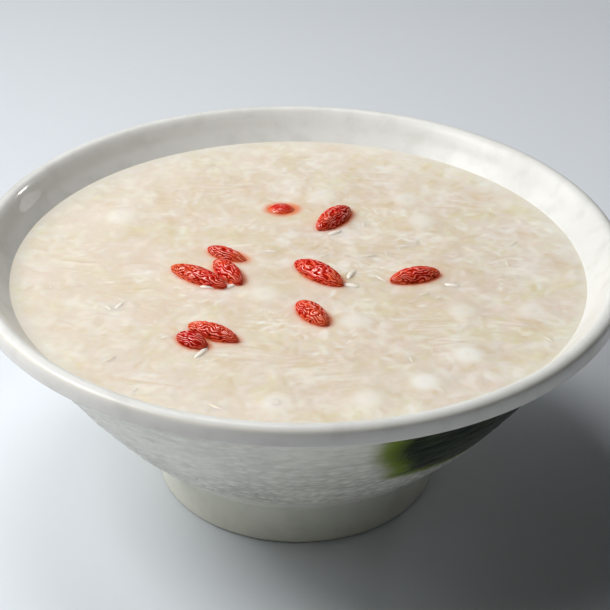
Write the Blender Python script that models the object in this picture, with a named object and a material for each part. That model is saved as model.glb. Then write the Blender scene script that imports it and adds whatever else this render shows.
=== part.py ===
# A bowl of sweet fermented rice soup with small rice balls and goji berries.
# Lengths are metres. The origin is on the table, under the middle of the foot ring.
import math
import random

import bmesh
import bpy
from mathutils import Matrix, Vector

mm = 0.001

# the bowl's turned shape, as radius and height
rimRadius = 93.8 * mm
rimHeight = 76.4 * mm
bandHeight = 4.0 * mm
lipInside = 88.0 * mm
footRadius = 42.0 * mm
footHeight = 12.5 * mm
ringWidth = 3.8 * mm
recessDepth = 6.5 * mm
floorHeight = 18.5 * mm
outerWall = ((46.0 * mm, 16.0 * mm), (65.3 * mm, 31.7 * mm), (88.8 * mm, 71.8 * mm))
innerWall = ((30.0 * mm, floorHeight), (64.0 * mm, 30.0 * mm), (82.9 * mm, 67.6 * mm))
bowlSides = 60
outerRows = 12
innerRows = 7
reliefDepth = 0.5 * mm

# the soup
soupLevel = 67.6 * mm
soupSides = 40
soupRings = 4
gap = 0.35 * mm              # between any two solids

# rice grains that float on the soup
grainLength = 6.8 * mm
grainWidth = 2.3 * mm
grainHeight = 1.8 * mm
grainCount = 100
grainSpacing = 7.6 * mm

# rice balls, nearly sunk: places across the soup
ballRadius = 6.2 * mm
ballRise = 1.2 * mm          # how far a ball's top stands out of the soup
ballPlaces = [
    (6.5, 44.6), (36.7, 29.6), (32.7, 43.3), (-54.4, 29.9), (-9.5, -15), (15.7, -29),
    (45.9, -22.7), (65.5, -22.1), (45.9, -45.1), (33.8, -58.9), (18.8, -67), (-5.3, -69.4),
]

# goji berries: place, length, width, heading in degrees, end-down tilt in degrees, rise of the middle
berryTable = {
    "berry_back_left": (-5.7, 36.2, 10.0, 7.0, 2, 0, -1.6),
    "berry_back_right": (10.3, 29.8, 16.4, 7.0, 55, 0, 0.6),
    "berry_far_left": (-28.6, -6.3, 19.8, 6.0, -34, 0, 0.6),
    "berry_cluster_back": (-21.0, 7.2, 13.5, 5.2, -28, 6, 0.1),
    "berry_cluster_front": (-20.4, -3.6, 15.0, 6.2, -59, 0, 0.7),
    "berry_middle": (5.8, -3.3, 18.6, 7.0, -43, 0, 0.6),
    "berry_right": (33.5, -4.2, 15.4, 6.0, 20, 0, 0.6),
    "berry_front": (4.0, -25.6, 14.2, 6.5, -54, 0, 0.6),
    "berry_front_left": (-23.0, -36.5, 15.8, 5.4, -28, 0, 0.8),
    "berry_tucked": (-28.5, -40.5, 10.4, 5.8, -37, 0, 0.3),
}


def clearScene():
    for item in list(bpy.data.objects):
        bpy.data.objects.remove(item, do_unlink=True)


def makeMaterial(name, color, roughness, coat=0.0):
    material = bpy.data.materials.new(name)
    material.use_nodes = True
    shader = material.node_tree.nodes["Principled BSDF"]
    shader.inputs["Base Color"].default_value = (*color, 1.0)
    shader.inputs["Roughness"].default_value = roughness
    shader.inputs["Metallic"].default_value = 0.0
    shader.inputs["Coat Weight"].default_value = coat
    return material


def makeObject(name, bm, material, collection=None):
    mesh = bpy.data.meshes.new(name)
    bm.to_mesh(mesh)
    bm.free()
    mesh.materials.append(material)
    mesh.shade_smooth()
    mesh.set_sharp_from_angle(angle=math.radians(40))
    item = bpy.data.objects.new(name, mesh)
    (collection or bpy.context.scene.collection).objects.link(item)
    return item


def curvePoint(ends, t):
    """Point at t along the three-point curve."""
    start, middle, end = (Vector(point) for point in ends)
    return (1 - t) ** 2 * start + 2 * t * (1 - t) * middle + t ** 2 * end


def curveRow(ends, rows):
    return [curvePoint(ends, step / rows) for step in range(rows + 1)]


def radiusAt(ends, height):
    """Radius of a wall curve where it passes a height."""
    low, high = 0.0, 1.0
    for _ in range(30):
        middle = (low + high) / 2
        if curvePoint(ends, middle).y < height:
            low = middle
        else:
            high = middle
    return curvePoint(ends, low).x


def lathe(profile, sides):
    """Turn a profile of radius and height about the upright axis into a closed solid."""
    bm = bmesh.new()
    points = [bm.verts.new((x, 0.0, z)) for x, z in profile]
    edges = [bm.edges.new(pair) for pair in zip(points, points[1:])]
    bmesh.ops.spin(bm, geom=points + edges, cent=(0, 0, 0), axis=(0, 0, 1),
                   angle=2 * math.pi, steps=sides, use_merge=True)
    bmesh.ops.remove_doubles(bm, verts=bm.verts, dist=1e-6)
    bmesh.ops.recalc_face_normals(bm, faces=bm.faces)
    return bm


def footProfile():
    """The recess under the bowl, the ring it stands on and the ring's outer side."""
    ringInside = footRadius - ringWidth
    return [
        (0.0, recessDepth),
        (ringInside - 2.5 * mm, recessDepth),
        (ringInside - 0.8 * mm, recessDepth - 1.5 * mm),
        (ringInside, 0.0),
        (footRadius - 0.8 * mm, 0.0),
        (footRadius, 0.8 * mm),
        (footRadius, 0.5 * footHeight),
        (footRadius + 0.6 * mm, footHeight),
        (footRadius + 1.8 * mm, footHeight + 2.3 * mm),
    ]


def bandProfile():
    """The smooth band round the rim, from its lower edge over the lip to the inside."""
    low = rimHeight - bandHeight
    return [
        (rimRadius - 0.7 * mm, low - 0.2 * mm),
        (rimRadius, low + 0.6 * mm),
        (rimRadius - 0.6 * mm, rimHeight - 1.3 * mm),
        (rimRadius - 1.7 * mm, rimHeight - 0.2 * mm),
        (rimRadius - 3.2 * mm, rimHeight),
        (lipInside + 0.9 * mm, rimHeight - 0.5 * mm),
        (lipInside - 0.2 * mm, rimHeight - 1.7 * mm),
        (lipInside - 2.6 * mm, rimHeight - 4.1 * mm),
    ]


def reliefAt(angle, height):
    """Uneven, nearly level ripples, like marks of a carving knife."""
    sway = 1.5 * math.sin(3 * angle + 0.6) + 0.9 * math.sin(7 * angle + 2.1)
    ripple = math.sin(2 * math.pi * height / (9.0 * mm) + sway)
    chip = math.sin(19 * angle + 600 * height) * math.sin(11 * angle - 350 * height)
    return reliefDepth * (0.6 * ripple + 0.4 * chip)


def makeBowl(material):
    wall = curveRow(outerWall, outerRows)
    inside = curveRow(innerWall, innerRows)
    profile = footProfile() + [tuple(point) for point in wall] + bandProfile()
    profile += [tuple(point) for point in reversed(inside)] + [(0.0, floorHeight)]
    bm = lathe(profile, bowlSides)
    top = wall[-1].y
    for vert in bm.verts:
        radius = math.hypot(vert.co.x, vert.co.y)
        onWall = wall[0].y < vert.co.z < top - 0.1 * mm
        if onWall and abs(radius - radiusAt(outerWall, vert.co.z)) < 0.2 * mm:
            lift = reliefAt(math.atan2(vert.co.y, vert.co.x), vert.co.z)
            vert.co.x *= (radius + lift) / radius
            vert.co.y *= (radius + lift) / radius
    return makeObject("bowl", bm, material)


def soupProfile():
    """Inside of the bowl, held off by the gap, then level rings across the top."""
    inset = 1.4 * gap
    side = [(radius - inset, height) for radius, height in curveRow(innerWall, innerRows)]
    side[0] = (side[0][0], floorHeight + gap)
    edge = radiusAt(innerWall, soupLevel) - inset
    rings = [(edge * (1 - step / soupRings), soupLevel) for step in range(1, soupRings + 1)]
    return [(0.0, floorHeight + gap)] + side + rings


def makeGrainMesh(material):
    bm = bmesh.new()
    upright = Matrix.Rotation(math.pi / 2, 4, "Y")
    bmesh.ops.create_uvsphere(bm, u_segments=5, v_segments=4, radius=0.5, matrix=upright)
    bmesh.ops.scale(bm, vec=(grainLength, grainWidth, grainHeight), verts=bm.verts)
    mesh = bpy.data.meshes.new("grain")
    bm.to_mesh(mesh)
    bm.free()
    mesh.materials.append(material)
    return mesh


def nearTopping(x, y, margin):
    """True where a grain would touch a berry or a ball."""
    for left, back in ballPlaces:
        if math.hypot(x - left * mm, y - back * mm) < ballRadius + margin:
            return True
    for left, back, length, width, heading, _, _ in berryTable.values():
        turn = math.radians(heading)
        dx, dy = x - left * mm, y - back * mm
        along = dx * math.cos(turn) + dy * math.sin(turn)
        across = dy * math.cos(turn) - dx * math.sin(turn)
        if abs(along) < length * mm / 2 + margin and abs(across) < width * mm / 2 + margin:
            return True
    return False


def grainPlaces():
    """Spread the grains evenly, clear of the toppings and of each other."""
    draw = random.Random(11)
    reach = radiusAt(innerWall, soupLevel) - grainLength / 2 - 1.0 * mm
    places = []
    for _ in range(20000):
        if len(places) == grainCount:
            break
        radius = reach * math.sqrt(draw.random())
        angle = 2 * math.pi * draw.random()
        x, y = radius * math.cos(angle), radius * math.sin(angle)
        crowded = any(math.hypot(x - px, y - py) < grainSpacing for px, py in places)
        if not crowded and not nearTopping(x, y, grainLength / 2 + 0.6 * mm):
            places.append((x, y))
    return places


def addGrains(soup, material):
    """Fuse the floating grains to the soup."""
    draw = random.Random(5)
    mesh = makeGrainMesh(material)
    grains = bpy.data.collections.new("grains")
    bpy.context.scene.collection.children.link(grains)
    for x, y in grainPlaces():
        grain = bpy.data.objects.new("grain", mesh)
        grain.location = (x, y, soupLevel + draw.uniform(-0.1, 0.15) * mm)
        grain.rotation_euler = (0.0, math.radians(draw.uniform(-4, 4)), draw.uniform(0, math.pi))
        grain.scale = [draw.uniform(0.85, 1.1)] * 3
        grains.objects.link(grain)
    useCollection(soup, grains, "UNION")


def useCollection(item, collection, operation):
    """Apply one Boolean with every object of a collection, then drop the collection."""
    modifier = item.modifiers.new(operation.lower(), "BOOLEAN")
    modifier.operation = operation
    modifier.solver = "EXACT"
    modifier.operand_type = "COLLECTION"
    modifier.collection = collection
    graph = bpy.context.evaluated_depsgraph_get()
    result = bpy.data.meshes.new_from_object(item.evaluated_get(graph))
    item.modifiers.remove(modifier)
    item.data = result
    for operand in list(collection.objects):
        bpy.data.objects.remove(operand, do_unlink=True)
    bpy.data.collections.remove(collection)


def ballShape(grow):
    bm = bmesh.new()
    bmesh.ops.create_uvsphere(bm, u_segments=10, v_segments=6, radius=ballRadius + grow)
    return bm


def berryShape(length, width, seed, grow):
    """A long berry lying along X, tapered to both ends and creased."""
    bm = bmesh.new()
    lying = Matrix.Rotation(math.pi / 2, 4, "Y")
    bmesh.ops.create_uvsphere(bm, u_segments=10, v_segments=7, radius=1.0, matrix=lying)
    draw = random.Random(seed)
    for vert in sorted(bm.verts, key=lambda v: (round(v.co.x, 4), round(math.atan2(v.co.y, v.co.z), 4))):
        taper = 1.0 - 0.22 * vert.co.x ** 2
        crease = 1.0 + draw.uniform(-0.05, 0.05)
        vert.co.x *= length / 2 + grow
        vert.co.y *= (width / 2 * crease * taper) + grow
        vert.co.z *= (0.92 * width / 2 * crease * taper) + grow
    return bm


def makeToppings(name, shape, place, turn, material, cutter, pockets):
    """A topping and the larger copy that clears its pocket in the soup."""
    topping = makeObject(name, shape, material)
    hollow = makeObject(name + "_pocket", cutter, material, pockets)
    for item in (topping, hollow):
        item.location = place
        item.rotation_euler = turn


def makeBalls(material, pockets):
    height = soupLevel + ballRise - ballRadius
    for number, (x, y) in enumerate(ballPlaces, start=1):
        place = (x * mm, y * mm, height)
        makeToppings(f"rice_ball_{number:02d}", ballShape(0.0), place, (0, 0, math.radians(36 * number)),
                     material, ballShape(gap), pockets)


def makeBerries(material, pockets):
    for number, (name, berry) in enumerate(berryTable.items()):
        x, y, length, width, heading, tilt, rise = berry
        place = (x * mm, y * mm, soupLevel + rise * mm)
        turn = (0.0, math.radians(tilt), math.radians(heading))
        makeToppings(name, berryShape(length * mm, width * mm, number, 0.0), place, turn,
                     material, berryShape(length * mm, width * mm, number, gap), pockets)


def main():
    clearScene()
    glaze = makeMaterial("white_glaze", (0.80, 0.80, 0.77), 0.12, coat=0.5)
    broth = makeMaterial("rice_soup", (0.82, 0.75, 0.62), 0.30)
    dough = makeMaterial("rice_ball_white", (0.86, 0.82, 0.74), 0.30)
    berrySkin = makeMaterial("berry_red", (0.62, 0.04, 0.015), 0.28)

    makeBowl(glaze)
    soup = makeObject("soup", lathe(soupProfile(), soupSides), broth)
    addGrains(soup, broth)
    pockets = bpy.data.collections.new("pockets")
    bpy.context.scene.collection.children.link(pockets)
    makeBalls(dough, pockets)
    makeBerries(berrySkin, pockets)
    useCollection(soup, pockets, "DIFFERENCE")


main()
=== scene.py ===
import math
import random

import bpy
import numpy as np
from mathutils import Matrix, Vector, noise


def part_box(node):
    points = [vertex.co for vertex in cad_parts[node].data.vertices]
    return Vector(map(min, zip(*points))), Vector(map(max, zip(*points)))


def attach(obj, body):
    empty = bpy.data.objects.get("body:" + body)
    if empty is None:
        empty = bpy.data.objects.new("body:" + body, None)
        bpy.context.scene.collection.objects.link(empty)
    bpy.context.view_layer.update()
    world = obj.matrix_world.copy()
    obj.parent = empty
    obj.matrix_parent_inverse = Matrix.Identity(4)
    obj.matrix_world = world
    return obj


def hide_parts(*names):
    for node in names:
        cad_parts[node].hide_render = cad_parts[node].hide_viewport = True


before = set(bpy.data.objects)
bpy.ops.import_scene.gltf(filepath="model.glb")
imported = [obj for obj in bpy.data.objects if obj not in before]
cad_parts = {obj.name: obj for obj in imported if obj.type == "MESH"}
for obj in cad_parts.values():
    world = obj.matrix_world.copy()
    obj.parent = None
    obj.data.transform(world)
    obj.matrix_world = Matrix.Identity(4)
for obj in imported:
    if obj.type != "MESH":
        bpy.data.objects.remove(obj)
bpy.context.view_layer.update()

mm = 0.001


# small helpers shared by every piece

def nodePoints(name):
    # a CAD node's own points, as an array
    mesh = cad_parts[name].data
    points = np.empty(len(mesh.vertices) * 3)
    mesh.vertices.foreach_get("co", points)
    return points.reshape(-1, 3)


def meshPiece(name, points, faces, material, replaces=()):
    mesh = bpy.data.meshes.new(name)
    mesh.from_pydata([tuple(point) for point in points], [], faces)
    mesh.validate()
    mesh.materials.append(material)
    mesh.shade_smooth()
    piece = bpy.data.objects.new(name, mesh)
    bpy.context.scene.collection.objects.link(piece)
    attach(piece, "root")
    if replaces:
        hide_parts(*replaces)
    return piece


def setPointValues(piece, name, values):
    layer = piece.data.attributes.new(name, "FLOAT", "POINT")
    layer.data.foreach_set("value", np.asarray(values, dtype=np.float32))


def gridFaces(rows, columns, first=0):
    # quads between neighbouring closed rings of points
    faces = []
    for row in range(rows - 1):
        low = first + row * columns
        for column in range(columns):
            after = (column + 1) % columns
            faces.append((low + column, low + after, low + columns + after, low + columns + column))
    return faces


def fanFaces(centre, ring, columns, flip=False):
    faces = [(centre, ring + column, ring + (column + 1) % columns) for column in range(columns)]
    return [face[::-1] for face in faces] if flip else faces


def podFaces(rows, columns, first=0):
    # closed rings of points between two single end points
    last = first + 1 + rows * columns
    faces = fanFaces(first, first + 1, columns, flip=True)
    faces += gridFaces(rows, columns, first + 1)
    return faces + fanFaces(last, last - columns, columns)


def smoothStep(low, high, value):
    t = np.clip((value - low) / (high - low), 0.0, 1.0)
    return t * t * (3 - 2 * t)


def roundCorners(points, times):
    # cut every corner of an open outline, keeping its two ends
    points = [np.array(point, float) for point in points]
    for _ in range(times):
        cut = [points[0]]
        for a, b in zip(points, points[1:]):
            cut += [0.75 * a + 0.25 * b, 0.25 * a + 0.75 * b]
        points = cut + [points[-1]]
    return np.array(points)


def evenSteps(points, step):
    # walk along an outline in equal steps
    lengths = np.concatenate([[0], np.cumsum(np.linalg.norm(np.diff(points, axis=0), axis=1))])
    count = max(2, int(round(lengths[-1] / step)) + 1)
    at = np.linspace(0, lengths[-1], count)
    return np.stack([np.interp(at, lengths, points[:, k]) for k in range(points.shape[1])], axis=1)


def bend(ends, count):
    t = np.linspace(0, 1, count)[:, None]
    a, b, c = (np.array(point, float) for point in ends)
    return (1 - t) ** 2 * a + 2 * t * (1 - t) * b + t * t * c


class NodeDesk:
    # a short way to lay out a material's nodes

    def __init__(self, name):
        self.material = bpy.data.materials.new(name)
        self.material.use_nodes = True
        self.tree = self.material.node_tree
        self.shader = self.tree.nodes["Principled BSDF"]

    def put(self, value, socket):
        if isinstance(value, bpy.types.NodeSocket):
            self.tree.links.new(value, socket)
        else:
            socket.default_value = value

    def set(self, **values):
        for name, value in values.items():
            self.put(value, self.shader.inputs[name.replace("_", " ")])

    def attribute(self, name):
        node = self.tree.nodes.new("ShaderNodeAttribute")
        node.attribute_name = name
        return node.outputs["Fac"]

    def place(self, stretch):
        coordinate = self.tree.nodes.new("ShaderNodeTexCoord").outputs["Object"]
        mapping = self.tree.nodes.new("ShaderNodeMapping")
        mapping.inputs["Scale"].default_value = stretch
        self.tree.links.new(coordinate, mapping.inputs["Vector"])
        return mapping.outputs["Vector"]

    def noise(self, scale, detail=3.0, rough=0.5, warp=0.0, stretch=(1, 1, 1)):
        node = self.tree.nodes.new("ShaderNodeTexNoise")
        node.inputs["Scale"].default_value = scale
        node.inputs["Detail"].default_value = detail
        node.inputs["Roughness"].default_value = rough
        node.inputs["Distortion"].default_value = warp
        self.tree.links.new(self.place(stretch), node.inputs["Vector"])
        return node.outputs["Fac"]

    def math(self, kind, a, b, clamp=False):
        node = self.tree.nodes.new("ShaderNodeMath")
        node.operation = kind
        node.use_clamp = clamp
        self.put(a, node.inputs[0])
        self.put(b, node.inputs[1])
        return node.outputs[0]

    def share(self, value, amount):
        return self.math("MULTIPLY", value, amount, True)

    def span(self, value, low, high, outLow=0.0, outHigh=1.0):
        node = self.tree.nodes.new("ShaderNodeMapRange")
        node.interpolation_type = "SMOOTHSTEP"
        self.put(value, node.inputs["Value"])
        ends = {"From Min": low, "From Max": high, "To Min": outLow, "To Max": outHigh}
        for name, number in ends.items():
            node.inputs[name].default_value = number
        return node.outputs["Result"]

    def mix(self, amount, a, b):
        node = self.tree.nodes.new("ShaderNodeMix")
        node.data_type = "RGBA"
        self.put(amount, node.inputs["Factor"])
        colours = [socket for socket in node.inputs if socket.type == "RGBA"]
        for socket, colour in zip(colours, (a, b)):
            self.put(colour if isinstance(colour, bpy.types.NodeSocket) else (*colour, 1.0), socket)
        return [socket for socket in node.outputs if socket.type == "RGBA"][0]

    def bump(self, height, strength, distance):
        node = self.tree.nodes.new("ShaderNodeBump")
        node.inputs["Strength"].default_value = strength
        node.inputs["Distance"].default_value = distance
        self.put(height, node.inputs["Height"])
        return node.outputs["Normal"]


# the bowl

bowlLow, bowlHigh = (np.array(corner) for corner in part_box("bowl"))
rimRadius = (bowlHigh[0] - bowlLow[0]) / 2
rimTop = bowlHigh[2]

bowlSettings = {
    "footRadius": 42.0 * mm,
    "footHeight": 12.5 * mm,
    "ringWidth": 3.8 * mm,
    "recessDepth": 6.5 * mm,
    "outerWall": ((46.0 * mm, 16.0 * mm), (65.3 * mm, 31.7 * mm), (88.4 * mm, 70.8 * mm)),
    "innerWall": ((30.0 * mm, 18.5 * mm), (64.0 * mm, 30.0 * mm), (82.9 * mm, 67.6 * mm)),
    # the rim band: how far in from the rim's outside and down from its top, in mm
    "band": ((1.1, 5.55), (0.2, 5.4), (0.0, 4.8), (0.02, 2.8), (0.3, 1.25), (1.0, 0.42), (2.2, 0.0),
             (3.5, 0.22), (4.7, 1.2), (6.0, 2.8), (7.7, 5.1), (9.3, 7.0)),
    "sides": 500,
    "footStep": 0.7 * mm,
    "wallStep": 0.6 * mm,
    "bandStep": 0.32 * mm,
    "insideStep": 1.6 * mm,
    "girth": 66.0 * mm,             # the wall's middle radius, where the bumps have their true width
    "bumpWidth": 3.6 * mm,          # the low bumps of the hammered wall
    "bumpHeight": 2.2 * mm,
    "bumpDepth": 0.36 * mm,
    "creaseWidth": 0.34,            # creases between the bumps, as a share of a bump
    "ringSpacing": 6.2 * mm,        # soft throwing rings under the bumps
    "ringDepth": 0.09 * mm,
    "grooveDepth": 0.36 * mm,       # longer grooves, deepest low on the wall
    "grooveWidth": 0.10,
    # one white glaze: the band's white is painted lighter and the inside's darker, as painted light and
    # shade
    "bandWhite": (0.89, 0.865, 0.82),
    "insideWhite": (0.82, 0.820, 0.790),
    "wallWhite": (0.865, 0.842, 0.752),
    "hollow": (0.40, 0.395, 0.345),  # glaze pooled in the grooves and creases, darkened further as painted shade
    "footWhite": (0.88, 0.87, 0.745),
    "shinyPlace": math.radians(163),  # where the glaze inside the rim shines most
    "strokeStart": -77.0,           # the green stroke, in degrees round the wall
    "strokeEnd": 14.0,
    "strokeLow": 35.0 * mm,
    "strokeLean": 5.0,              # how far its left end leans between two heights
    "strokeLeanFrom": 58.0 * mm,
    "strokeLeanTo": 42.0 * mm,
    "strokeRagged": 0.3,
    "strokeSlope": 0.16 * mm,       # how far its lower edge drops with each degree
    "strokeGreen": (0.18, 0.25, 0.024),
    "strokeDark": (0.008, 0.016, 0.009),
}


def innerRadius(height):
    curve = bend(bowlSettings["innerWall"], 200)
    return np.interp(height, curve[:, 1], curve[:, 0])


def smoothThrough(points, step):
    # a smooth curve through all the points, in even steps
    points = np.array([points[0]] + list(points) + [points[-1]], float)
    t = np.linspace(0, 1, 12)[:, None]
    pieces = []
    for a, b, c, d in zip(points, points[1:], points[2:], points[3:]):
        pieces.append(0.5 * (2 * b + (c - a) * t + (2 * a - 5 * b + 4 * c - d) * t ** 2
                             + (3 * b - a - 3 * c + d) * t ** 3))
    return evenSteps(np.concatenate(pieces), step)


def bowlOutline():
    # foot, outer wall, band and inside, each as (radius, height) points from the middle outwards
    s = bowlSettings
    ring = s["footRadius"] - s["ringWidth"]
    foot = [
        (0.0, s["recessDepth"]), (ring - 2.5 * mm, s["recessDepth"]),
        (ring - 0.8 * mm, s["recessDepth"] - 1.5 * mm), (ring, 0.0),
        (s["footRadius"] - 0.8 * mm, 0.0), (s["footRadius"], 0.8 * mm),
        (s["footRadius"], 0.5 * s["footHeight"]), (s["footRadius"] + 0.6 * mm, s["footHeight"]),
        (s["footRadius"] + 1.8 * mm, s["footHeight"] + 2.3 * mm), s["outerWall"][0],
    ]
    band = [s["outerWall"][2]]
    band += [(rimRadius - inward * mm, rimTop - down * mm) for inward, down in s["band"]]
    band += [s["innerWall"][2]]
    band = smoothThrough(band, s["bandStep"])
    band[:, 0] = np.minimum(band[:, 0], rimRadius)
    band[:, 1] = np.minimum(band[:, 1], rimTop)
    wall = evenSteps(bend(s["outerWall"], 200), s["wallStep"])
    inside = evenSteps(bend(s["innerWall"], 200)[::-1], s["insideStep"])
    return [
        evenSteps(roundCorners(foot, 2), s["footStep"]), wall[1:-1], band, inside[1:],
        np.array([(0.0, s["innerWall"][0][1])]),
    ]


def hammered(angle, climb, low):
    # the relief of the hammered wall: soft bumps in rows, with longer grooves where low is near 1,
    # and how much glaze pools there, with painted shade in the grooves and creases
    s = bowlSettings
    x, y = s["girth"] * math.cos(angle), s["girth"] * math.sin(angle)
    climb += 1.5 * mm * noise.noise(Vector((x, y, climb)) * 60)
    wide, tall = 1 / s["bumpWidth"], 1 / s["bumpHeight"]
    place = Vector((x * wide, y * wide, climb * tall))
    # flat bumps with thin creases between them
    near, second = noise.voronoi(place)[0][:2]
    crease = max(0.0, 1 - (second - near) / s["creaseWidth"])
    small = noise.noise(place * 1.7 + Vector((0, 0, 9)))
    line = noise.noise(Vector((x * wide * 0.34, y * wide * 0.34, climb * tall * 0.75 + 31)))
    groove = max(0.0, 1 - abs(line) / s["grooveWidth"]) * (0.25 + 0.75 * low)
    ring = math.cos(2 * math.pi * climb / s["ringSpacing"])
    relief = s["bumpDepth"] * (0.4 - 1.3 * near * near + 0.7 * small) + s["ringDepth"] * ring
    strong = 0.35 + 0.65 * min(1.0, max(0.0, 0.5 + 2.0 * noise.noise(Vector((x, y, climb)) * 45)))
    # the creases darken more low on the wall: painted shade
    crease *= strong * (0.45 + 0.55 * low)
    return relief - s["grooveDepth"] * groove ** 1.4, max(groove, crease)


def greenStroke(degrees, height):
    # how strongly the brushed glaze covers a place, and how deep its colour is
    s = bowlSettings
    ragged = s["strokeRagged"] * noise.noise(Vector((degrees * 0.14, height / (3.0 * mm), 4)))
    lean = s["strokeLean"] * smoothStep(s["strokeLeanFrom"], s["strokeLeanTo"], height)
    start = s["strokeStart"] + ragged + lean
    low = s["strokeLow"] + ragged * 0.5 * mm - s["strokeSlope"] * (degrees - s["strokeStart"] - 14)
    cover = smoothStep(start - 2.5, start + 6.5, degrees)
    cover *= 1 - smoothStep(s["strokeEnd"] - 10.0, s["strokeEnd"], degrees + 3 * ragged)
    cover *= smoothStep(low, low + 6.0 * mm, height)
    depth = smoothStep(start + 3.0, start + 10.5, degrees) * smoothStep(low + 3 * mm, low + 9 * mm, height)
    return float(cover), float(depth)


def makeBowl():
    s = bowlSettings
    parts = bowlOutline()
    outline = np.concatenate(parts)
    first = len(parts[0])
    last = first + len(parts[1])
    lowest, highest = s["outerWall"][0][1], s["outerWall"][2][1]
    climb = np.concatenate([[0], np.cumsum(np.linalg.norm(np.diff(outline, axis=0), axis=1))])
    points = []
    marks = {name: [] for name in ("hollow", "stroke", "shade", "foot", "band", "inside", "gloss")}
    for row, (radius, height) in enumerate(outline):
        onWall = first <= row < last
        nearBand = 1 - smoothStep(highest - 3 * mm, highest - 0.5 * mm, height)
        low = 1 - smoothStep(0.34 * highest, 0.72 * highest, height)
        for column in range(s["sides"]):
            angle = 2 * math.pi * column / s["sides"]
            lift, groove, cover, depth = 0.0, 0.0, 0.0, 0.0
            fade = 0.0
            if onWall:
                # on the side the foot is smooth further up
                smooth = lowest + 1 * mm + 5 * mm * (0.5 - 0.5 * math.cos(2 * angle + 0.6)) ** 0.5
                fade = nearBand * smoothStep(smooth, smooth + 5 * mm, height)
                lift, groove = hammered(angle, climb[row], low)
                lift *= fade
                turn = (angle + math.pi) % (2 * math.pi) - math.pi
                cover, depth = greenStroke(math.degrees(turn), height)
                lift *= 1 - 0.5 * cover
            reach = radius + lift
            points.append((reach * math.cos(angle), reach * math.sin(angle), height))
            # pooled glaze and painted shade in the grooves and creases
            marks["hollow"].append(fade * groove)
            marks["stroke"].append(cover)
            marks["shade"].append(depth)
            marks["foot"].append(float(1 - smoothStep(lowest - 2 * mm, lowest + 6 * mm, height)))
            onBand = smoothStep(highest - 1.5 * mm, highest + 0.5 * mm, height)
            onBand *= 1 - smoothStep(rimTop - 1.6 * mm, rimTop - 0.4 * mm, height)
            marks["band"].append(float(onBand * (radius > rimRadius - 2.4 * mm)))
            marks["inside"].append(float(radius < rimRadius - 0.8 * mm and row > last))
            # the glaze runs smoother and shinier in one place inside the rim
            smoother = math.cos(angle - s["shinyPlace"]) if row > last else 0.0
            marks["gloss"].append(0.13 * max(0.0, smoother) ** 40)
    # the first and last rows close to a point in the middle
    columns, rows = s["sides"], len(outline)
    keep = slice(columns, (rows - 1) * columns)
    body = points[keep]
    ends = [(0.0, 0.0, outline[0][1]), (0.0, 0.0, outline[-1][1])]
    faces = gridFaces(rows - 2, columns)
    faces += fanFaces(len(body), 0, columns, flip=True)
    faces += fanFaces(len(body) + 1, len(body) - columns, columns)
    bowl = meshPiece("bowlGlazed", body + ends, faces, glazeMaterial(), ["bowl"])
    for name, values in marks.items():
        setPointValues(bowl, name, values[keep] + [0.0, 0.0])
    print("bowl:", len(bowl.data.polygons), "faces")


def glazeMaterial():
    s = bowlSettings
    desk = NodeDesk("whiteGlaze")
    cloud = desk.span(desk.noise(34, 4), 0.3, 0.7)
    # the lighter band and darker inside are painted light and shade on one glaze
    white = desk.mix(desk.attribute("inside"), s["wallWhite"], s["insideWhite"])
    white = desk.mix(desk.attribute("foot"), white, s["footWhite"])
    white = desk.mix(desk.attribute("band"), white, s["bandWhite"])
    speckle = desk.span(desk.noise(150, 3), 0.45, 0.75, 0.0, 0.16)
    white = desk.mix(desk.math("ADD", speckle, desk.share(cloud, 0.10)), white, s["hollow"])
    # the grooves and creases darken: pooled glaze and painted shade
    pooledAndShaded = desk.mix(desk.share(desk.attribute("hollow"), 0.95), white, s["hollow"])
    brush = desk.span(desk.noise(260, 2, stretch=(1, 1, 0.5)), 0.3, 0.7, -0.03, 0.03)
    cover = desk.span(desk.math("ADD", desk.attribute("stroke"), brush), 0.06, 0.96)
    cover = desk.math("MULTIPLY", cover, desk.span(desk.attribute("stroke"), 0.0, 0.15))
    uneven = desk.span(desk.noise(90, 2), 0.3, 0.7, -0.10, 0.10)
    depth = desk.math("ADD", desk.attribute("shade"), uneven, True)
    green = desk.mix(depth, s["strokeGreen"], s["strokeDark"])
    pits = desk.span(desk.noise(900, 2), 0.35, 0.7)
    rough = desk.math("SUBTRACT", desk.span(cloud, 0, 1, 0.19, 0.25), desk.attribute("gloss"))
    shine = desk.mix(desk.attribute("inside"), (0.38, 0.38, 0.38), (0.22, 0.22, 0.22))
    shine = desk.mix(cover, shine, (0.14, 0.14, 0.14))
    desk.set(Base_Color=desk.mix(cover, pooledAndShaded, green), Roughness=rough,
             Normal=desk.bump(pits, 0.06, 0.0001), Specular_IOR_Level=shine,
             Coat_Weight=desk.share(desk.attribute("gloss"), 7.0), Coat_Roughness=0.03)
    return desk.material


# where things lie on the soup

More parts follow.
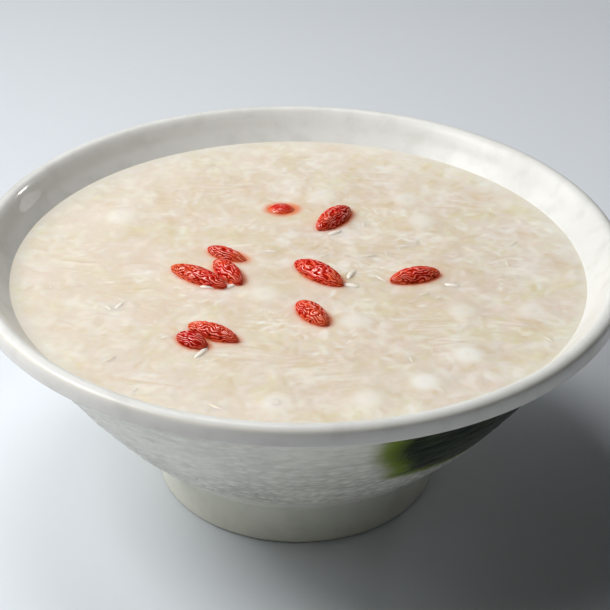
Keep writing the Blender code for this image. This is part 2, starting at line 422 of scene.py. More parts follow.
soupSettings = {
    "level": rimTop - 8.8 * mm,
    "fieldStep": 0.25 * mm,
    "across": 290,                  # points across the soup's round top
    "wallRows": 8,
    "intoWall": 0.45 * mm,
    "climb": 0.12 * mm,             # how far the soup creeps up the wall
    "climbReach": 1.2 * mm,
    "edgeWidth": 3.0 * mm,          # the rim of the surface, which is flat and clear of rice
    "unevenness": ((45, 1.0, 0.10), (130, 7.0, 0.07), (300, 5.0, 0.04)),   # fineness, seed and mm
    "grainRaised": 0.15 * mm,       # points this far above the level belong to floating grains,
    "grainGroup": 3.9 * mm,         # and points this close together to one grain
    "grainPatch": (8.0 * mm, 3.4 * mm),     # pale patch and low mound round each of them
    "grainMound": (9.0 * mm, 4.6 * mm),
    "moundHeight": 0.20 * mm,
    "stainWidth": 11.0 * mm,        # how much wider than a berry its faint stain and its red fringe are; the fringe is juice tint and painted glow
    "haloWidth": 4.0 * mm,
    # the fringe is moved toward the berry's shaded side: painted glow in its shadow
    "haloShift": 0.4 * mm,
    "seed": 21,
    "sunkGrains": 6200,
    "sunkLong": (4.6, 7.0),         # mm
    "sunkWide": (1.8, 2.5),
    "sunkLift": 0.22 * mm,
    "strandGap": 1.4 * mm,
    "strandStep": 0.7 * mm,         # a strand is laid in short steps, each one soft dab
    "strandDab": (2.4 * mm, 1.2 * mm),
    "tuftLong": (3.0, 5.5),
    "tuftWide": (1.2, 1.9),
    # drifts of strands: place in mm, heading in degrees, length in mm and number of strands
    "drifts": (
        (39, -31, 4, 30, 9), (58, -29, -6, 20, 6), (-12, -44, 3, 26, 7), (7, -48, 14, 24, 7),
        (-8, -29, -5, 18, 5), (41, -39, 10, 20, 5), (-44, -11, 8, 18, 5), (-60, 1, -8, 20, 6),
        (29, 11, -10, 22, 5), (61, 7, 12, 20, 5), (-22, 50, 4, 24, 6), (23, 60, -6, 24, 6),
        (-36, -60, -14, 22, 5), (15, -58, 6, 20, 5), (53, 39, -20, 22, 5), (-10, 19, 12, 18, 4),
    ),
    # tufts of burst rice: place and reach in mm, and number of grains
    "tufts": (
        (-4, -32, 5, 26), (-8, -26, 4, 14), (18, 2, 5, 26), (25, 5, 4, 14), (10, 21, 4, 14),
        (25, -1, 4, 12), (-28, -18, 5, 16), (-34, -9, 5, 14), (-52, -5, 6, 18), (-62, 11, 5, 14),
        (35, 17, 6, 18), (51, 11, 6, 16), (23, 33, 6, 18), (3, 52, 6, 14), (-30, 43, 6, 14),
        (-14, 25, 5, 12), (-20, 11, 4, 10), (45, -34, 5, 14), (27, -22, 6, 18), (11, -38, 5, 14),
        (-22, -52, 6, 14), (63, -3, 5, 14), (-46, -34, 6, 12), (5, 11, 4, 10),
    ),
    "cream": (0.805, 0.700, 0.545),
    "warm": (0.790, 0.645, 0.465),
    "cool": (0.795, 0.727, 0.618),
    "blush": (0.800, 0.670, 0.590),
    "straw": (0.775, 0.725, 0.480),
    "riceWhite": (0.930, 0.895, 0.820),
    "strand": (0.700, 0.565, 0.350),
    "stain": (0.800, 0.530, 0.360),
    # the red fringe round each berry: juice tint and painted glow of light through the berry
    "halo": (0.900, 0.225, 0.075),
    "edge": (0.790, 0.742, 0.630),
}
soupLevel = soupSettings["level"]
soupRadius = float(innerRadius(soupLevel))
berryNames = sorted(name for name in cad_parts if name.startswith("berry"))
ballNames = sorted(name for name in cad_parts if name.startswith("rice_ball"))


def longAxis(points):
    # middle, heading and size of a long piece, seen from above
    middle = (points.min(axis=0) + points.max(axis=0)) / 2
    flat = points[:, :2] - points[:, :2].mean(axis=0)
    values, vectors = np.linalg.eigh(flat.T @ flat)
    along = vectors[:, 1] * (1 if vectors[0, 1] >= 0 else -1)
    across = np.array((-along[1], along[0]))
    length = np.ptp(flat @ along)
    width = np.ptp(flat @ across)
    return middle, math.atan2(along[1], along[0]), length, width


def floatingGrains():
    # the grains fused on the CAD soup, found again as groups of its raised points
    points = nodePoints("soup")
    raised = points[points[:, 2] > soupLevel + soupSettings["grainRaised"]]
    reach = soupSettings["grainGroup"]
    groups = []
    for point in raised:
        near = [g for g in groups if np.linalg.norm(np.mean(g, axis=0)[:2] - point[:2]) < reach]
        if near:
            near[0].append(point)
        else:
            groups.append([point])
    grains = []
    for group in groups:
        group = np.array(group)
        if len(group) > 3:
            middle, heading, _, _ = longAxis(group)
            grains.append((middle[0], middle[1], heading))
    return grains


berries = {name: longAxis(nodePoints(name)) for name in berryNames}
balls = {name: [np.array(corner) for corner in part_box(name)] for name in ballNames}
grainsAfloat = floatingGrains()
print("found", len(grainsAfloat), "grains,", len(berries), "berries,", len(balls), "balls")


# the soup's surface, worked out on a fine square field

fieldSize = int(2 * (soupRadius + 4 * mm) / soupSettings["fieldStep"])
fieldSpan = fieldSize * soupSettings["fieldStep"] / 2
fieldNames = ("height", "tone", "tint", "stain", "halo", "dome")
fields = {name: np.zeros((fieldSize, fieldSize)) for name in fieldNames}


def footprint(x, y, length, width, heading, soft):
    # the part of a field that lies under a soft ellipse, and how fully it is covered
    step = soupSettings["fieldStep"]
    reach = int(max(length, width) / 2 / step) + 2
    column, row = int((x + fieldSpan) / step), int((y + fieldSpan) / step)
    left, right = max(column - reach, 0), max(min(column + reach + 1, fieldSize), 0)
    front, back = max(row - reach, 0), max(min(row + reach + 1, fieldSize), 0)
    gx, gy = np.meshgrid(np.arange(left, right) * step - fieldSpan - x,
                         np.arange(front, back) * step - fieldSpan - y)
    along = gx * math.cos(heading) + gy * math.sin(heading)
    across = gy * math.cos(heading) - gx * math.sin(heading)
    far = np.sqrt((along / (length / 2)) ** 2 + (across / (width / 2)) ** 2)
    return (slice(front, back), slice(left, right)), 1 - smoothStep(1.0 - soft, 1.0, far)


def stamp(name, x, y, length, width, heading, strength, soft=1.0):
    # lay a soft ellipse on one field, keeping whichever is stronger
    part, cover = footprint(x, y, length, width, heading, soft)
    fields[name][part] = np.maximum(fields[name][part], strength * cover)


def paint(x, y, length, width, heading, values, strength, soft=0.6):
    # lay a soft ellipse over what is already there, like one grain lying on others
    part, cover = footprint(x, y, length, width, heading, soft)
    for name, value in values.items():
        fields[name][part] += (value - fields[name][part]) * cover * strength


def readField(name, x, y):
    step = soupSettings["fieldStep"]
    u = np.clip((x + fieldSpan) / step, 0, fieldSize - 1.001)
    v = np.clip((y + fieldSpan) / step, 0, fieldSize - 1.001)
    column, row = u.astype(int), v.astype(int)
    fu, fv = u - column, v - row
    grid = fields[name]
    low = grid[row, column] * (1 - fu) + grid[row, column + 1] * fu
    high = grid[row + 1, column] * (1 - fu) + grid[row + 1, column + 1] * fu
    return low * (1 - fv) + high * fv


def randomSpot(draw, reach):
    radius = reach * math.sqrt(draw.random())
    angle = 2 * math.pi * draw.random()
    return radius * math.cos(angle), radius * math.sin(angle)


def richness(x, y):
    # the grains show thinly at the left and in front, and thickly to the right of the middle
    side = float(smoothStep(-50 * mm, 30 * mm, x + 0.2 * y))
    cloud = noise.noise(Vector((x * 42, y * 42, 3.0)))
    return min(1.0, max(0.25, 0.48 + 0.45 * side + 0.7 * cloud))


def layGrains(draw):
    # grains just under the surface, one over another: the deeper one lies, the softer it shows
    s = soupSettings
    for _ in range(s["sunkGrains"]):
        x, y = randomSpot(draw, soupRadius)
        depth = draw.random()
        length = draw.uniform(*s["sunkLong"]) * mm * (1 + 0.3 * depth)
        width = draw.uniform(*s["sunkWide"]) * mm * (1 + 0.6 * depth)
        drift = noise.noise(Vector((x * 85, y * 120, 11.0)))
        hue = noise.noise(Vector((x * 55, y * 75, 23.0)))
        values = {
            "tone": max(-1.0, min(1.0, draw.gauss(0.12 + 1.1 * drift, 0.50))),
            "tint": max(-1.0, min(1.0, draw.gauss(1.3 * hue, 0.45))),
            "height": s["sunkLift"] * draw.random() * (1 - 0.6 * depth),
        }
        strength = richness(x, y) * (0.95 - 0.55 * depth)
        paint(x, y, length, width, draw.uniform(0, math.pi), values, strength, 0.65)


def layStrands(draw):
    # fine strands that drift together under the film, some darker and some paler than the soup
    s = soupSettings
    stride = s["strandStep"]
    for x, y, heading, long, count in s["drifts"]:
        heading = math.radians(heading)
        curl = draw.uniform(-14, 14)
        for number in range(count):
            aside = (number - count / 2 + draw.uniform(-0.3, 0.3)) * s["strandGap"]
            back = draw.uniform(0.3, 0.7) * long * mm
            way = heading + draw.gauss(0, 0.08)
            px = x * mm - back * math.cos(way) - aside * math.sin(way)
            py = y * mm - back * math.sin(way) + aside * math.cos(way)
            tone = draw.uniform(0.5, 1.0) if draw.random() < 0.4 else -draw.uniform(0.6, 1.2)
            steps = int(draw.uniform(0.5, 1.0) * long * mm / stride)
            values = {"tone": tone}
            if tone > 0:
                values["height"] = s["sunkLift"]
            for step in range(steps):
                fade = math.sin(math.pi * (step + 0.5) / steps)
                paint(px, py, *s["strandDab"], way, values, 0.55 * fade, 1.0)
                px, py = px + stride * math.cos(way), py + stride * math.sin(way)
                way += curl * stride + draw.gauss(0, 0.04)


def layTufts(draw):
    # loose tufts of burst white rice at the surface
    s = soupSettings
    for x, y, reach, count in s["tufts"]:
        for _ in range(count):
            way, out = draw.uniform(0, 2 * math.pi), reach * mm * math.sqrt(draw.random())
            px, py = x * mm + 1.5 * out * math.cos(way), y * mm + out * math.sin(way)
            tone = draw.uniform(0.4, 1.3)
            values = {"tone": tone, "height": 0.9 * s["sunkLift"] * draw.random()}
            long, wide = draw.uniform(*s["tuftLong"]) * mm, draw.uniform(*s["tuftWide"]) * mm
            paint(px, py, long, wide, draw.gauss(0, 0.7), values, draw.uniform(0.45, 0.85), 0.9)


def fillFields():
    s = soupSettings
    draw = random.Random(s["seed"])
    layGrains(draw)
    layStrands(draw)
    layTufts(draw)
    for x, y, heading in grainsAfloat:
        paint(x, y, *s["grainPatch"], heading, {"tone": 0.45}, 0.6, 0.8)
        stamp("height", x, y, *s["grainMound"], heading, s["moundHeight"], 1.0)
    for name, (low, high) in balls.items():
        middle, wide = (low + high) / 2, high[0] - low[0]
        bare = ballSettings["bare"] if name in ballSettings["palest"] else ballSettings["veiled"]
        stamp("dome", middle[0], middle[1], 0.98 * wide, 0.98 * wide, 0, bare, 0.7)
    for middle, heading, length, width in berries.values():
        x, y = middle[:2]
        wide = s["stainWidth"]
        stamp("stain", x, y, length + wide, width + wide, heading, 1.0, 0.75)
        # the red fringe is partly juice tint and partly painted glow, leaning into the berry's shadow
        wide = s["haloWidth"]
        stamp("halo", x + s["haloShift"], y, length + wide, width + wide, heading, 1.0, 0.44)
    for name in ("tone", "tint", "height"):
        fields[name] *= 1 - 0.75 * fields["dome"]


def roundGrid(count):
    # a square grid of points bent to fill a circle of radius 1, and the order of its border
    t = np.linspace(-1, 1, count)
    u, v = np.meshgrid(t, t)
    wide = np.abs(u) > np.abs(v)
    reach = np.where(wide, u, v)
    safe = np.where(np.abs(reach) < 1e-9, 1, reach)
    turn = np.where(wide, math.pi / 4 * v / safe, math.pi / 2 - math.pi / 4 * u / safe)
    row, last = np.arange(count), count - 1
    front, right = row[:-1], row[:-1] * count + last
    back, left = last * count + row[:0:-1], row[:0:-1] * count
    border = np.concatenate([front, right, back, left])
    return (reach * np.cos(turn)).ravel(), (reach * np.sin(turn)).ravel(), border


def cloudy(x, y, fine, seed):
    return np.array([noise.noise(Vector((px * fine, py * fine, seed))) for px, py in zip(x, y)])


def ballMounds(x, y):
    # the soup's film rises over each rice ball and leaves only its very top bare
    lift = np.zeros_like(x)
    for low, high in balls.values():
        middle, radius = (low + high) / 2, (high[0] - low[0]) / 2
        rise = high[2] - soupLevel - ballSettings["lower"]
        far = np.hypot(x - middle[0], y - middle[1])
        lift = np.maximum(lift, 0.90 * rise * np.exp(-(far / radius) ** 2))
    return lift


def makeSoup():
    s = soupSettings
    fillFields()
    count = s["across"]
    gx, gy, border = roundGrid(count)
    x, y = gx * soupRadius, gy * soupRadius
    out = np.hypot(x, y)
    inward = soupRadius - out
    lift = readField("height", x, y) + ballMounds(x, y)
    lift += sum(depth * mm * cloudy(x, y, fine, seed) for fine, seed, depth in s["unevenness"])
    lift *= smoothStep(0.0, s["edgeWidth"], inward)
    wavy = cloudy(x, y, 60, 3.0)
    climb = s["climb"] * (1 + np.maximum(wavy, 0)) * np.exp(-inward / s["climbReach"])
    z = soupLevel + lift + climb
    x[border] *= 1 + s["intoWall"] / soupRadius
    y[border] *= 1 + s["intoWall"] / soupRadius
    points = list(zip(x, y, z))
    faces = []
    for row in range(count - 1):
        for column in range(count - 1):
            corner = row * count + column
            faces.append((corner, corner + 1, corner + count + 1, corner + count))
    # the sides follow the bowl's inside wall down to its floor, just inside the clay
    top = len(points)
    floor = bowlSettings["innerWall"][0][1] - 0.1 * mm
    ring = np.arctan2(y[border], x[border])
    above = list(border)
    for depth in np.linspace(soupLevel - 1 * mm, floor, s["wallRows"]):
        radius = float(innerRadius(depth)) + 0.15 * mm
        below = list(range(len(points), len(points) + len(ring)))
        points += [(radius * math.cos(a), radius * math.sin(a), depth) for a in ring]
        for here in range(len(ring)):
            after = (here + 1) % len(ring)
            faces.append((above[here], below[here], below[after], above[after]))
        above = below
    points.append((0.0, 0.0, floor))
    faces += [(above[here], len(points) - 1, above[(here + 1) % len(ring)]) for here in range(len(ring))]
    soup = meshPiece("soupBody", points, faces, soupMaterial(), ["soup"])
    # a sharp edge where the top meets the sides keeps its shine even
    onBorder = set(int(number) for number in border)
    for edge in soup.data.edges:
        if edge.vertices[0] in onBorder and edge.vertices[1] in onBorder:
            edge.use_edge_sharp = True
    blank = [0.0] * (len(points) - top)
    for name in fieldNames[1:]:
        setPointValues(soup, name, list(readField(name, x, y)) + blank)
    rim = 1 - smoothStep(0.0, s["edgeWidth"], inward)
    setPointValues(soup, "rim", list(rim) + [1.0] * len(blank))
    inner = 1 - smoothStep(0.45, 0.98, out / soupRadius)
    setPointValues(soup, "middle", list(inner) + blank)
    print("soup:", len(soup.data.polygons), "faces")


def soupMaterial():
    s = soupSettings
    desk = NodeDesk("riceSoup")
    broad = desk.span(desk.noise(26, 3), 0.35, 0.65)
    patch = desk.span(desk.noise(95, 4, 0.6, 0.4), 0.34, 0.68)
    blush = desk.span(desk.noise(57, 3, 0.5, 0.6), 0.42, 0.70)
    flake = desk.span(desk.noise(420, 3, 0.6, 0.5), 0.5, 0.75)
    middle = desk.attribute("middle")
    tone = desk.attribute("tone")
    tint = desk.attribute("tint")
    colour = desk.mix(desk.share(middle, 0.55), s["cool"], s["warm"])
    colour = desk.mix(desk.share(broad, 0.5), colour, s["cream"])
    colour = desk.mix(desk.share(patch, 0.35), colour, s["cool"])
    colour = desk.mix(desk.share(blush, 0.25), colour, s["blush"])
    colour = desk.mix(desk.share(tint, 0.7), colour, s["blush"])
    colour = desk.mix(desk.share(tint, -0.8), colour, s["straw"])
    colour = desk.mix(desk.share(tone, -0.72), colour, s["strand"])
    colour = desk.mix(desk.share(tone, 0.82), colour, s["riceWhite"])
    colour = desk.mix(desk.share(flake, 0.22), colour, s["riceWhite"])
    colour = desk.mix(desk.attribute("dome"), colour, s["riceWhite"])
    colour = desk.mix(desk.share(desk.attribute("rim"), 0.60), colour, s["edge"])
    colour = desk.mix(desk.share(desk.attribute("stain"), 0.30), colour, s["stain"])
    # red fringe round the berries: partly juice tint, partly painted glow leaning into their shadows
    colour = desk.mix(desk.share(desk.attribute("halo"), 0.95), colour, s["halo"])
    # light spreads through the soup, less so where it thins out against the wall
    desk.set(Base_Color=colour, Roughness=desk.span(patch, 0, 1, 0.34, 0.46),
             Subsurface_Weight=desk.span(desk.attribute("rim"), 0, 1, 0.85, 0.0),
             Subsurface_Radius=(1.0, 0.8, 0.6), Subsurface_Scale=0.005,
             Normal=desk.bump(desk.noise(700, 3), 0.10, 0.0003))
    return desk.material


# rice grains afloat

grainSettings = {
    "length": 6.8 * mm,
    "width": 2.2 * mm,
    "height": 1.7 * mm,
    "seed": 4,
    "extra": 60,
    "around": 10,
    "along": 8,
    # grains that lie against the berries or near them: mm from the berry's middle, heading in degrees,
    # size, and mm that they stand out
    "beside": {
        "berry_far_left": (
            (3.2, -4.5, -8, 0.80, 0.50), (-24.5, -16.6, -43, 0.75, 0.15), (-21.6, -15.6, 60, 0.80, 0.15),
        ),
        "berry_cluster_front": ((0.7, -7.1, 35, 0.78, 0.50),),
        "berry_middle": (
            (9.3, 0.8, 66, 0.85, 0.45), (9.4, -5.4, -18, 0.78, 0.40), (17.6, -1.2, -52, 0.90, 0.30),
        ),
        "berry_back_right": ((0.2, -8.0, 31, 0.78, 0.45),),
        "berry_tucked": ((3.0, -4.9, 62, 1.12, 0.50), (-7.5, 2.5, 20, 0.75, 0.25)),
        "berry_cluster_back": ((12.6, 3.2, 2, 0.85, 0.25),),
        "berry_right": ((10.5, -3.5, -15, 0.80, 0.30),),
    },
    "colour": (0.890, 0.810, 0.680),
    "tip": (0.845, 0.740, 0.575),
    "bare": (0.940, 0.870, 0.765),  # the ones that stand out of the soup
}


def grainPoints(place, heading, pitch, size, bendBy, plump):
    s = grainSettings
    points = []
    turn = Matrix.Rotation(heading, 3, "Z") @ Matrix.Rotation(pitch, 3, "Y")
    for row in range(s["along"] + 1):
        t = row / s["along"]
        along = -math.cos(math.pi * t)
        around = math.sin(math.pi * t) ** 0.8
        ring = 1 if row in (0, s["along"]) else s["around"]
        for column in range(ring):
            angle = 2 * math.pi * column / s["around"]
            point = Vector((
                along * s["length"] / 2 * size,
                around * math.cos(angle) * s["width"] / 2 * plump + bendBy * along * along * s["width"],
                around * math.sin(angle) * s["height"] / 2 * plump,
            ))
            points.append(place + turn @ point)
    return points


def clearOfToppings(x, y, margin):
    for low, high in balls.values():
        middle = (low + high) / 2
        if math.hypot(x - middle[0], y - middle[1]) < 2.5 * mm + margin:
            return False
    for middle, heading, length, width in berries.values():
        dx, dy = x - middle[0], y - middle[1]
        along = dx * math.cos(heading) + dy * math.sin(heading)
        across = dy * math.cos(heading) - dx * math.sin(heading)
        if (along / (length / 2 + margin)) ** 2 + (across / (width / 2 + margin)) ** 2 < 1:
            return False
    return True


def makeGrains():
    s = grainSettings
    draw = random.Random(s["seed"])
    # place, heading, size, how far the top stands out, and how bare it is
    spots = [(x, y, heading, 0, draw.uniform(-0.16, 0.05), 0.0) for x, y, heading in grainsAfloat]
    while len(spots) < len(grainsAfloat) + s["extra"]:
        x, y = randomSpot(draw, soupRadius - 4 * mm)
        if clearOfToppings(x, y, 2.0 * mm):
            spots.append((x, y, draw.uniform(0, math.pi), 0, draw.uniform(-0.18, 0.0), 0.0))
    for name, rows in s["beside"].items():
        middle = berries[name][0]
        for dx, dy, heading, size, show in rows:
            spots.append((middle[0] + dx * mm, middle[1] + dy * mm, math.radians(heading), size, show, 1.0))
    points, faces, bare = [], [], []
    for x, y, heading, size, show, clean in spots:
        rise = float(readField("height", np.array([x]), np.array([y]))[0])
        place = Vector((x, y, soupLevel + rise + show * mm - s["height"] / 2))
        size = size or draw.uniform(0.85, 1.08)
        pitch = math.radians(draw.uniform(-4, 4))
        grain = grainPoints(place, heading, pitch, size, draw.uniform(-0.25, 0.25), draw.uniform(0.85, 1.1))
        faces += podFaces(s["along"] - 1, s["around"], len(points))
        points += grain
        bare += [clean] * len(grain)
    grains = meshPiece("riceGrains", points, faces, grainMaterial())
    setPointValues(grains, "bare", bare)
    print("grains:", len(spots), "with", len(faces), "faces")


def grainMaterial():
    s = grainSettings
    desk = NodeDesk("softRice")
    cloud = desk.span(desk.noise(520, 2), 0.35, 0.65)
    colour = desk.mix(cloud, s["colour"], s["tip"])
    colour = desk.mix(desk.share(desk.attribute("bare"), 0.85), colour, s["bare"])
    desk.set(Base_Color=colour, Roughness=desk.span(cloud, 0, 1, 0.30, 0.42),
             Subsurface_Weight=0.12, Subsurface_Radius=(1.0, 0.8, 0.6), Subsurface_Scale=0.001,
             Normal=desk.bump(desk.noise(1800, 2), 0.12, 0.0002))
    return desk.material


# rice balls

ballSettings = {
    "around": 56,
    "rings": 36,
    "lump": 0.06 * mm,
    "lower": 0.50 * mm,     # the soft tops sink a little under the film
    "palest": ("rice_ball_09", "rice_ball_10"),
    "bare": 1.0,            # how white the film is over those two, and over the others
    "veiled": 0.65,
    "colour": (0.890, 0.830, 0.735),
    "shade": (0.870, 0.800, 0.700),
}


def makeBall(name, low, high, number, material):
    s = ballSettings
    middle = Vector((low + high) / 2)
    radius = (high[2] - low[2]) / 2
    points = [tuple(middle + Vector((0, 0, radius - 0.5 * s["lump"] - s["lower"])))]
    for row in range(1, s["rings"]):
        tilt = math.pi * row / s["rings"]
        for column in range(s["around"]):
            angle = -2 * math.pi * column / s["around"]
            way = Vector((
                math.sin(tilt) * math.cos(angle), math.sin(tilt) * math.sin(angle), math.cos(tilt),
            ))
            lump = s["lump"] * noise.noise(way * 1.4 + Vector((number * 3.1, 0, 0))) - 0.5 * s["lump"]
            drop = Vector((0, 0, s["lower"] * max(0, way.z)))
            points.append(tuple(middle + way * (radius + lump) - drop))
    points.append(tuple(middle - Vector((0, 0, radius))))
    faces = podFaces(s["rings"] - 1, s["around"])
    title = name.replace("rice_ball", "riceBall")
    meshPiece(title, points, faces, material, [name])


def doughMaterial():
    s = ballSettings
    desk = NodeDesk("riceDough")
    cloud = desk.span(desk.noise(160, 3), 0.3, 0.7)
    desk.set(Base_Color=desk.mix(desk.share(cloud, 0.6), s["colour"], s["shade"]),
             Roughness=desk.span(cloud, 0, 1, 0.30, 0.42),
             Subsurface_Weight=0.12, Subsurface_Radius=(1.0, 0.85, 0.7), Subsurface_Scale=0.001,
             Normal=desk.bump(desk.noise(500, 3), 0.1, 0.0003))
    return desk.material


# goji berries

berrySettings = {
    "around": 120,
    "along": 150,
    "full": 0.86,               # below 1 the cross-section is fuller than an oval
    "taper": 0.22,
    "foldDepth": 0.20 * mm,     # long folds
    "foldWidth": 0.12,
    "wrinkles": 15,             # wandering wrinkles round a berry, and how far they stray
    "stray": 1.5,
    "wrinkleLong": 2.30 * mm,
    "wrinkleWide": 1.50 * mm,
    "wrinkleDepth": 0.12 * mm,
    "red": (0.860, 0.030, 0.012),
    "pale": (0.970, 0.480, 0.420),
    "deep": (0.270, 0.003, 0.002),
    "crimson": (0.480, 0.010, 0.014),
    "orange": (0.920, 0.230, 0.060),
    # how crimson, how much darker on one side, how orange at its left and right tips, how wrinkled
    "looks": {
        "berry_back_left": (0.45, 0.0, 0.0, 0.2, 0.45),
        "berry_back_right": (0.05, 0.2, 0.2, 0.3, 1.0),
        "berry_far_left": (0.05, 0.0, 0.9, 0.2, 1.0),
        "berry_cluster_back": (0.20, 0.0, 0.1, 1.0, 1.0),
        "berry_cluster_front": (0.05, 0.0, 0.3, 0.3, 1.0),
        "berry_middle": (0.05, 0.0, 0.2, 0.5, 1.0),
        "berry_right": (0.05, 0.0, 0.4, 0.6, 1.0),
        "berry_front": (0.00, 0.0, 0.3, 0.8, 1.0),
        "berry_front_left": (0.05, 0.0, 0.8, 0.3, 1.0),
        "berry_tucked": (0.55, 0.0, 0.1, 0.3, 1.0),
    },
}


def creased(value, width):
    # 1 in the middle of a crease, 0 away from it
    return max(0.0, 1.0 - abs(value) / width)


def fuller(value):
    return math.copysign(abs(value) ** berrySettings["full"], value)


def berryPoint(along, angle, length, width, tall, seed, wrinkled):
    s = berrySettings
    taper = 1 - s["taper"] * along * along
    around = math.sqrt(max(0.0, 1 - abs(along) ** 2.3)) * taper
    y, z = around * fuller(math.cos(angle)), around * fuller(math.sin(angle))
    ratio = length / width
    shift = Vector((seed * 5.7, seed * 2.3, seed * 1.1))
    sway = noise.noise(Vector((along * ratio * 0.8, y, z)) + shift)
    fold = noise.noise(Vector((along * ratio * 0.75, y * 2.4 + 0.7 * sway, z * 2.4)) + shift)
    # wandering wrinkles: ridges and creases that run side by side, and meet here and there
    long, wide = s["wrinkleLong"], s["wrinkleWide"]
    place = Vector((along * length / 2 / long, y * width / 2 / wide, z * tall / 2 / wide))
    place += Vector((0.0, 0.5 * sway, 0.5 * sway)) + shift
    uneven = 0.60 + 0.40 * float(smoothStep(-0.35, 0.25, noise.noise(place * 0.8 + shift)))
    wave = uneven * math.cos(s["wrinkles"] * angle + 2 * math.pi * s["stray"] * noise.noise(place))
    fold = creased(fold, s["foldWidth"])
    crease = max(0.9 * fold, float(smoothStep(0.05, -0.65, wave))) * wrinkled
    dent = s["foldDepth"] * fold - s["wrinkleDepth"] * wave
    dent *= min(1.0, around * 2.2) * wrinkled
    shrink = 1 - dent / (width / 2)
    # the ridges on the upper side, facing the lamps, get a painted pink highlight
    crest = float(smoothStep(0.30, 0.85, wave) * smoothStep(-0.1, 0.6, z)) * (1 - crease) * wrinkled
    return Vector((along * length / 2, y * width / 2 * shrink, z * tall / 2 * shrink)), crease, crest


def makeBerry(name, number, material):
    s = berrySettings
    cad = nodePoints(name)
    middle, heading, length, width = berries[name]
    tall = cad[:, 2].max() - cad[:, 2].min()
    forward = Vector((math.cos(heading), math.sin(heading), 0))
    along = (cad[:, :2] - middle[:2]) @ np.array(forward[:2])
    tip, tail = cad[along.argmax()], cad[along.argmin()]
    pitch = -math.asin(float(np.clip((tip[2] - tail[2]) / length, -1, 1)))
    turn = Matrix.Rotation(heading, 3, "Z") @ Matrix.Rotation(pitch, 3, "Y")
    tall -= abs(math.sin(pitch)) * length * 0.5
    crimson, oneSide, leftTip, rightTip, wrinkled = s["looks"][name]
    points, creases, paintedHighlights, orangeTipsAndGlow, darks = [], [], [], [], []
    for row in range(s["along"] + 1):
        t = -math.cos(math.pi * row / s["along"])
        columns = 1 if row in (0, s["along"]) else s["around"]
        for column in range(columns):
            angle = 2 * math.pi * column / s["around"]
            point, crease, crest = berryPoint(t, angle, length, width, tall, number, wrinkled)
            place = Vector(middle) + turn @ point
            points.append(tuple(place))
            creases.append(crease)
            paintedHighlights.append(crest)
            # lighter orange just above the soup: the soup film over the skin, and painted glow of light
            # through the berry
            soupFilmAndGlow = 1 - smoothStep(0.1 * mm, 1.2 * mm, place.z - soupLevel)
            orange = rightTip if t > 0 else leftTip
            orangeTipsAndGlow.append(max(orange * abs(t) ** (2.6 - 1.6 * orange), 0.6 * soupFilmAndGlow))
            darks.append(crimson + oneSide * smoothStep(0.15, -0.15, math.cos(angle)))
    faces = podFaces(s["along"] - 1, s["around"])
    title = "goji" + "".join(word.capitalize() for word in name.split("_")[1:])
    piece = meshPiece(title, points, faces, material, [name])
    setPointValues(piece, "crease", creases)
    setPointValues(piece, "crest", paintedHighlights)
    setPointValues(piece, "tip", orangeTipsAndGlow)
    setPointValues(piece, "dark", darks)


def skinMaterial():
    s = berrySettings
    desk = NodeDesk("gojiSkin")
    blotch = desk.span(desk.noise(210, 3), 0.38, 0.66)
    colour = desk.mix(desk.share(blotch, 0.30), s["red"], s["orange"])
    colour = desk.mix(desk.attribute("dark"), colour, s["crimson"])
    # painted highlight on the upper ridges
    colour = desk.mix(desk.share(desk.attribute("crest"), 0.62), colour, s["pale"])
    # orange tips, and the painted glow near the soup line
    colour = desk.mix(desk.share(desk.attribute("tip"), 0.75), colour, s["orange"])
    # the folds and creases darken to deep red: painted shade
    colour = desk.mix(desk.span(desk.attribute("crease"), 0.2, 0.9, 0.0, 0.85), colour, s["deep"])
    desk.set(Base_Color=colour, Roughness=desk.span(blotch, 0, 1, 0.40, 0.50),
             Specular_IOR_Level=0.0,
             Coat_Weight=desk.span(desk.attribute("crease"), 0.0, 0.5, 1.0, 0.0),
             Coat_Roughness=0.08, Coat_IOR=1.75,
             Subsurface_Weight=0.15, Subsurface_Radius=(1.0, 0.15, 0.05), Subsurface_Scale=0.0015,
             Normal=desk.bump(desk.noise(2200, 3), 0.15, 0.00015))
    return desk.material


# table, light and camera

roomSettings = {
    "tableWidth": 6.0,
    "table": (0.765, 0.805, 0.850),
    "tableRoughness": 0.6,
    "skyColour": (1.0, 0.955, 0.905),
    "skyStrength": 0.012,
    "lightsAimAt": (0.0, 0.0, 0.05),
    # soft boxes: degrees round from +X, degrees up, distance, width, power and degrees of spread
    "softBoxes": {
        "key": (180, 50, 0.90, 0.40, 4.26, 180),
        "keyLow": (180, 35, 0.50, 0.25, 0.34, 180),
        "keyHigh": (200, 60, 0.90, 0.40, 1.08, 180),
        "backLeft": (150, 30, 1.60, 0.70, 0.72, 75),
        "overhead": (120, 70, 0.90, 0.40, 0.39, 110),
        "overheadWide": (120, 70, 0.90, 0.40, 1.56, 180),
        "frontFill": (240, 12, 0.90, 0.40, 0.27, 180),
        "glint": (45.0, 30.2, 0.90, 0.09, 0.22, 180),
        "glintTail": (34.0, 13.0, 0.90, 0.28, 0.22, 180),
    },
}

cameraSettings = {
    "elevation": 31.2,
    "distance": 0.552,
    "aim": (0.0020, 0.0, 0.0555),
    "roll": 0.85,
    "lens": 111.2,
}


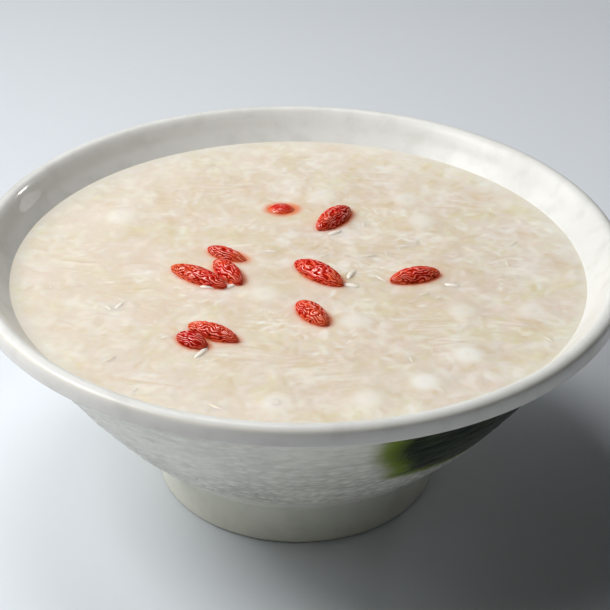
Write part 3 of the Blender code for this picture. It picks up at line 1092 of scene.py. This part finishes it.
def makeTable():
    half = roomSettings["tableWidth"] / 2
    corners = [(-half, -half, 0), (half, -half, 0), (half, half, 0), (-half, half, 0)]
    mesh = bpy.data.meshes.new("table")
    mesh.from_pydata(corners, [], [(0, 1, 2, 3)])
    desk = NodeDesk("paleTable")
    desk.set(Base_Color=(*roomSettings["table"], 1.0), Roughness=roomSettings["tableRoughness"],
             Specular_IOR_Level=0.15)
    mesh.materials.append(desk.material)
    table = bpy.data.objects.new("table", mesh)
    bpy.context.scene.collection.objects.link(table)


def makeSoftBox(name, around, up, distance, size, power, spread):
    light = bpy.data.lights.new(name, "AREA")
    light.shape = "DISK"
    light.size = size
    light.energy = power
    light.spread = math.radians(spread)
    around, up = math.radians(around), math.radians(up)
    target = Vector(roomSettings["lightsAimAt"])
    way = Vector((math.cos(up) * math.cos(around), math.cos(up) * math.sin(around), math.sin(up)))
    lamp = bpy.data.objects.new(name, light)
    lamp.location = target + way * distance
    lamp.rotation_euler = (-way).to_track_quat("-Z", "Y").to_euler()
    bpy.context.scene.collection.objects.link(lamp)


def makeLight():
    for name, values in roomSettings["softBoxes"].items():
        makeSoftBox(name, *values)
    world = bpy.data.worlds.new("room")
    world.use_nodes = True
    sky = world.node_tree.nodes["Background"]
    sky.inputs["Color"].default_value = (*roomSettings["skyColour"], 1.0)
    sky.inputs["Strength"].default_value = roomSettings["skyStrength"]
    bpy.context.scene.world = world
    bpy.context.scene.view_settings.view_transform = "Standard"
    bpy.context.scene.view_settings.look = "None"


def makeCamera():
    s = cameraSettings
    lens = bpy.data.cameras.new("camera")
    lens.lens = s["lens"]
    lens.sensor_width = 36.0
    lens.clip_start = 0.01
    camera = bpy.data.objects.new("camera", lens)
    tilt = math.radians(s["elevation"])
    away = Vector((0, -math.cos(tilt), math.sin(tilt)))
    camera.location = Vector(s["aim"]) + away * s["distance"]
    turn = Matrix.Rotation(math.pi / 2 - tilt, 4, "X") @ Matrix.Rotation(math.radians(s["roll"]), 4, "Z")
    camera.rotation_euler = turn.to_euler()
    bpy.context.scene.collection.objects.link(camera)
    bpy.context.scene.camera = camera


# make everything

riceDough = doughMaterial()
gojiSkin = skinMaterial()
makeCamera()
makeTable()
makeLight()
print("table, light and camera are set")
makeBowl()
makeSoup()
makeGrains()
for number, (name, (low, high)) in enumerate(balls.items()):
    makeBall(name, low, high, number, riceDough)
print("balls:", len(balls))
for number, name in enumerate(berryNames):
    makeBerry(name, number + 1, gojiSkin)
print("berries:", len(berryNames))
